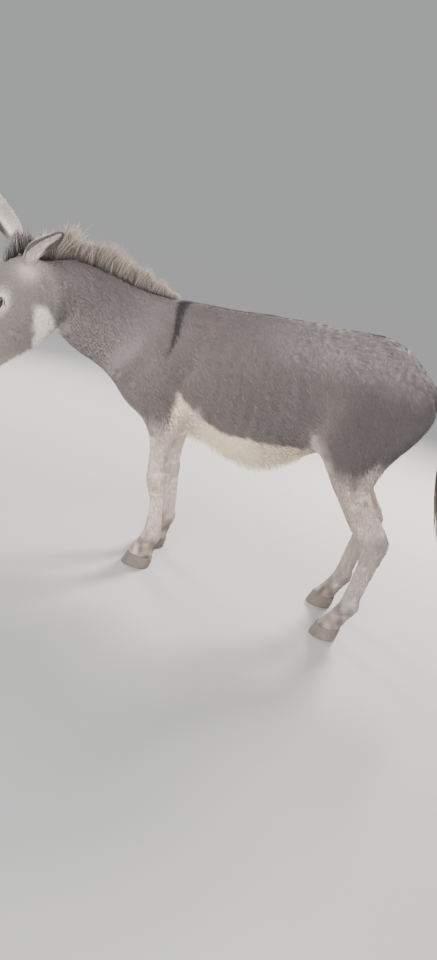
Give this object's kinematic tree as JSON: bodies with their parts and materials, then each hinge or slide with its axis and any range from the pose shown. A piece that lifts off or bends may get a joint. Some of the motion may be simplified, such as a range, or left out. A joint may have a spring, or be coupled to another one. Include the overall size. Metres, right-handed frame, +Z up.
{
  "type": "donkey",
  "caption": "Life-size grey donkey standing with its neck and head turned to the left, with upright mane, long ears and a tufted tail.",
  "frame": {"origin": "on the floor under the middle of the whole model's box", "axes": "+Z up, +X towards the tail, so the donkey faces -X and its left side is -Y"},
  "size_m": [1.857, 0.8142, 1.3287],
  "materials": {
    "coat": "short grey-brown hair, pale cream on the belly and legs, with a dark stripe down the back and across the shoulders",
    "long_hair": "coarse upright hair, dark at the root and light tan at the tips",
    "horn": "dusty grey horn with fine growth rings",
    "eye": "wet dark brown"
  },
  "bodies": {
    "root": {"head": "coat", "neck": "coat", "trunk": "coat", "foreleg_left": "coat", "foreleg_right": "coat", "hindleg_left": "coat", "hindleg_right": "coat", "ear_left": "coat", "ear_right": "coat", "tail": "coat", "mane": "long_hair", "forelock": "long_hair", "tail_tuft": "long_hair", "hoof_fore_left": "horn", "hoof_fore_right": "horn", "hoof_hind_left": "horn", "hoof_hind_right": "horn", "eye_left": "eye", "eye_right": "eye"}
  },
  "joints": []
}
